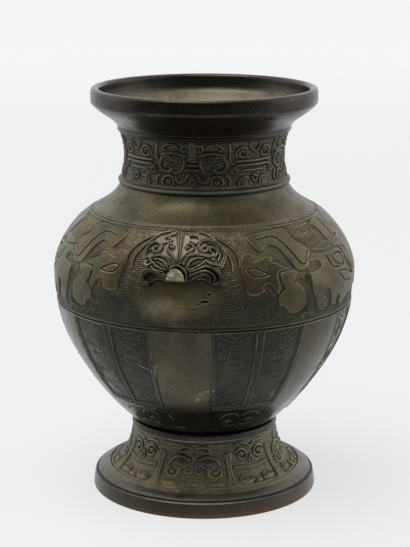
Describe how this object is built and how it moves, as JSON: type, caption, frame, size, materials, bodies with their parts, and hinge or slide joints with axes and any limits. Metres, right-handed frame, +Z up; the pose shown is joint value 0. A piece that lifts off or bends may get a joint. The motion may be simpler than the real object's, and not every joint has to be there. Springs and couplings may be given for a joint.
{
  "type": "bronze hu vase",
  "caption": "Cast bronze ritual vase with a flared mouth, waisted neck, full body, trumpet foot and scrolled handle masks, for flowers or display.",
  "frame": {"origin": "centre of the foot on the ground", "axes": "+Z up along the axis of revolution; the front handle mask faces -Y and the rear one +Y"},
  "size_m": [0.2218, 0.2328, 0.3],
  "materials": {
    "dark_bronze": "dark waxed patina, worn brown at the foot",
    "olive_bronze": "olive black patina with dust in the recesses",
    "brown_bronze": "brown olive patina, satin",
    "mask_bronze": "worn patina with bare bronze at the broken loop"
  },
  "bodies": {
    "root": {"plinth_ring": "dark_bronze", "foot": "olive_bronze", "floor_plate": "dark_bronze", "lower_bowl": "olive_bronze", "shoulder": "brown_bronze", "neck_collar": "olive_bronze", "mouth_rim": "dark_bronze", "front_mask": "mask_bronze", "rear_mask": "mask_bronze", "front_mask_rivet_1": "brown_bronze", "front_mask_rivet_2": "brown_bronze", "rear_mask_rivet_1": "brown_bronze", "rear_mask_rivet_2": "brown_bronze"}
  },
  "joints": []
}
